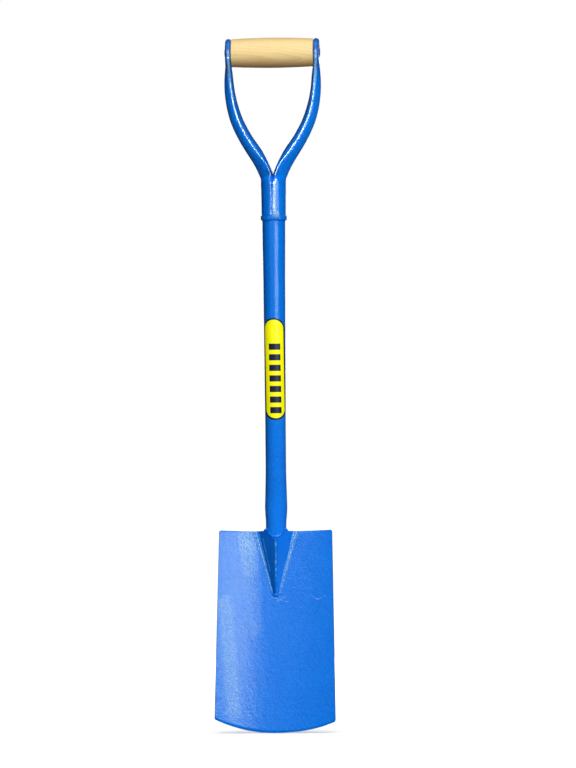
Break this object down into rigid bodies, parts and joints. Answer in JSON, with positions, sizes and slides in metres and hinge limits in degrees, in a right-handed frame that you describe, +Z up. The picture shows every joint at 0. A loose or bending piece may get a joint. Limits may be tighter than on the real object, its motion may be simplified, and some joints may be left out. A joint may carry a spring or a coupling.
{
  "type": "digging spade",
  "caption": "All-steel digging spade: dished square blade with a welded ridge plate, tubular shaft bent above the blade, forked handle with a turned wooden grip.",
  "frame": {"origin": "middle of the cutting edge, the spade standing upright on it", "axes": "+Z up along the shaft, +X to the right of the hollow face, -Y out of the hollow face (the front)"},
  "size_m": [0.177, 0.0911, 1.017],
  "materials": {
    "paint": "smooth gloss enamel",
    "weld_paint": "gloss enamel over rippled weld",
    "wood": "sanded and lacquered pale hardwood",
    "label": "semi-gloss film"
  },
  "bodies": {
    "root": {"blade": "paint", "ridge_plate": "paint", "shaft": "paint", "handle": "paint", "rivet": "paint", "collar_weld": "weld_paint", "ridge_weld_left": "weld_paint", "ridge_weld_right": "weld_paint", "toe_weld": "weld_paint", "foot_weld_left": "weld_paint", "foot_weld_right": "weld_paint", "tail_weld_left": "weld_paint", "tail_weld_right": "weld_paint", "grip": "wood", "label": "label"}
  },
  "joints": []
}
